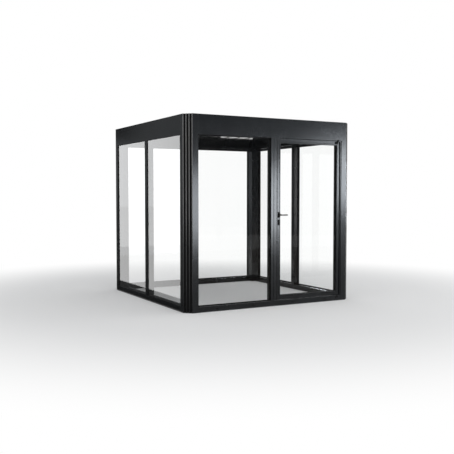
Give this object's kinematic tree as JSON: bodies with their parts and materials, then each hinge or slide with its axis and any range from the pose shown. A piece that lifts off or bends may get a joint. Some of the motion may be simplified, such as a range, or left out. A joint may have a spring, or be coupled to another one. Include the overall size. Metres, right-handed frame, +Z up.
{
  "type": "glass greenhouse",
  "caption": "Flat-roofed glass greenhouse with stepped dark metal corner posts, fixed panes, a hinged glass door with a lever handle and a tilting louvre roof.",
  "frame": {"origin": "on the ground, at the middle of the outline of the four corner posts", "axes": "+X along the front to the right seen from outside, +Y from the front to the rear, +Z up"},
  "size_m": [2.38, 2.446, 2.3],
  "materials": {
    "frame_paint": "satin",
    "louver_paint": "satin",
    "pane_glass": "clear",
    "seal_rubber": "matte",
    "handle_metal": "satin",
    "hinge_metal": "satin"
  },
  "bodies": {
    "house": {"front_left_post": "frame_paint", "front_right_post": "frame_paint", "rear_left_post": "frame_paint", "rear_right_post": "frame_paint", "front_sill": "frame_paint", "rear_sill": "frame_paint", "left_sill": "frame_paint", "right_sill": "frame_paint", "front_beam": "frame_paint", "rear_beam": "frame_paint", "left_beam": "frame_paint", "right_beam": "frame_paint", "front_mullion": "frame_paint", "rear_mullion": "frame_paint", "left_mullion": "frame_paint", "right_mullion": "frame_paint", "roof_gutters": "frame_paint", "louver_rails": "frame_paint", "front_glass": "pane_glass", "rear_glass": "pane_glass", "left_glass": "pane_glass", "right_glass": "pane_glass", "wall_gaskets": "seal_rubber", "door_stop": "frame_paint", "hinge_post_halves": "hinge_metal"},
    "door": {"door_left_stile": "frame_paint", "door_right_stile": "frame_paint", "door_top_rail": "frame_paint", "door_bottom_rail": "frame_paint", "door_glass": "pane_glass", "door_gasket": "seal_rubber", "handle_roses": "handle_metal", "lock_roses": "handle_metal", "hinge_door_halves": "hinge_metal"},
    "handle": {"door_handle": "handle_metal"},
    "louver_1_blade": {"louver_1": "louver_paint"},
    "louver_2_blade": {"louver_2": "louver_paint"},
    "louver_3_blade": {"louver_3": "louver_paint"},
    "louver_4_blade": {"louver_4": "louver_paint"},
    "louver_5_blade": {"louver_5": "louver_paint"},
    "louver_6_blade": {"louver_6": "louver_paint"},
    "louver_7_blade": {"louver_7": "louver_paint"},
    "louver_8_blade": {"louver_8": "louver_paint"},
    "louver_9_blade": {"louver_9": "louver_paint"},
    "louver_10_blade": {"louver_10": "louver_paint"},
    "louver_11_blade": {"louver_11": "louver_paint"},
    "louver_12_blade": {"louver_12": "louver_paint"}
  },
  "joints": [
    {"name": "door_swing", "type": "hinge", "parent": "house", "child": "door", "pos_m": [1.019, -1.124, 0.266], "axis": [0, 0, -1], "range_deg": [0, 90]},
    {"name": "handle_turn", "type": "hinge", "parent": "door", "child": "handle", "pos_m": [0.079, -1.187, 1.122], "axis": [0, 1, 0], "range_deg": [0, 40], "stiffness_Nm_per_rad": 1.2, "springref_deg": -28.65},
    {"name": "louver_1_tilt", "type": "hinge", "parent": "house", "child": "louver_1_blade", "pos_m": [-0.93958, 0, 2.215], "axis": [0, -1, 0], "range_deg": [0, 90]},
    {"name": "louver_2_tilt", "type": "hinge", "parent": "house", "child": "louver_2_blade", "pos_m": [-0.76875, 0, 2.215], "axis": [0, -1, 0], "range_deg": [0, 90]},
    {"name": "louver_3_tilt", "type": "hinge", "parent": "house", "child": "louver_3_blade", "pos_m": [-0.59792, 0, 2.215], "axis": [0, -1, 0], "range_deg": [0, 90]},
    {"name": "louver_4_tilt", "type": "hinge", "parent": "house", "child": "louver_4_blade", "pos_m": [-0.42708, 0, 2.215], "axis": [0, -1, 0], "range_deg": [0, 90]},
    {"name": "louver_5_tilt", "type": "hinge", "parent": "house", "child": "louver_5_blade", "pos_m": [-0.25625, 0, 2.215], "axis": [0, -1, 0], "range_deg": [0, 90]},
    {"name": "louver_6_tilt", "type": "hinge", "parent": "house", "child": "louver_6_blade", "pos_m": [-0.08542, 0, 2.215], "axis": [0, -1, 0], "range_deg": [0, 90]},
    {"name": "louver_7_tilt", "type": "hinge", "parent": "house", "child": "louver_7_blade", "pos_m": [0.08542, 0, 2.215], "axis": [0, -1, 0], "range_deg": [0, 90]},
    {"name": "louver_8_tilt", "type": "hinge", "parent": "house", "child": "louver_8_blade", "pos_m": [0.25625, 0, 2.215], "axis": [0, -1, 0], "range_deg": [0, 90]},
    {"name": "louver_9_tilt", "type": "hinge", "parent": "house", "child": "louver_9_blade", "pos_m": [0.42708, 0, 2.215], "axis": [0, -1, 0], "range_deg": [0, 90]},
    {"name": "louver_10_tilt", "type": "hinge", "parent": "house", "child": "louver_10_blade", "pos_m": [0.59792, 0, 2.215], "axis": [0, -1, 0], "range_deg": [0, 90]},
    {"name": "louver_11_tilt", "type": "hinge", "parent": "house", "child": "louver_11_blade", "pos_m": [0.76875, 0, 2.215], "axis": [0, -1, 0], "range_deg": [0, 90]},
    {"name": "louver_12_tilt", "type": "hinge", "parent": "house", "child": "louver_12_blade", "pos_m": [0.93958, 0, 2.215], "axis": [0, -1, 0], "range_deg": [0, 90]}
  ],
  "couplings": [
    {"joint": "louver_2_tilt", "follows": "louver_1_tilt", "ratio": 1},
    {"joint": "louver_3_tilt", "follows": "louver_1_tilt", "ratio": 1},
    {"joint": "louver_4_tilt", "follows": "louver_1_tilt", "ratio": 1},
    {"joint": "louver_5_tilt", "follows": "louver_1_tilt", "ratio": 1},
    {"joint": "louver_6_tilt", "follows": "louver_1_tilt", "ratio": 1},
    {"joint": "louver_7_tilt", "follows": "louver_1_tilt", "ratio": 1},
    {"joint": "louver_8_tilt", "follows": "louver_1_tilt", "ratio": 1},
    {"joint": "louver_9_tilt", "follows": "louver_1_tilt", "ratio": 1},
    {"joint": "louver_10_tilt", "follows": "louver_1_tilt", "ratio": 1},
    {"joint": "louver_11_tilt", "follows": "louver_1_tilt", "ratio": 1},
    {"joint": "louver_12_tilt", "follows": "louver_1_tilt", "ratio": 1}
  ]
}
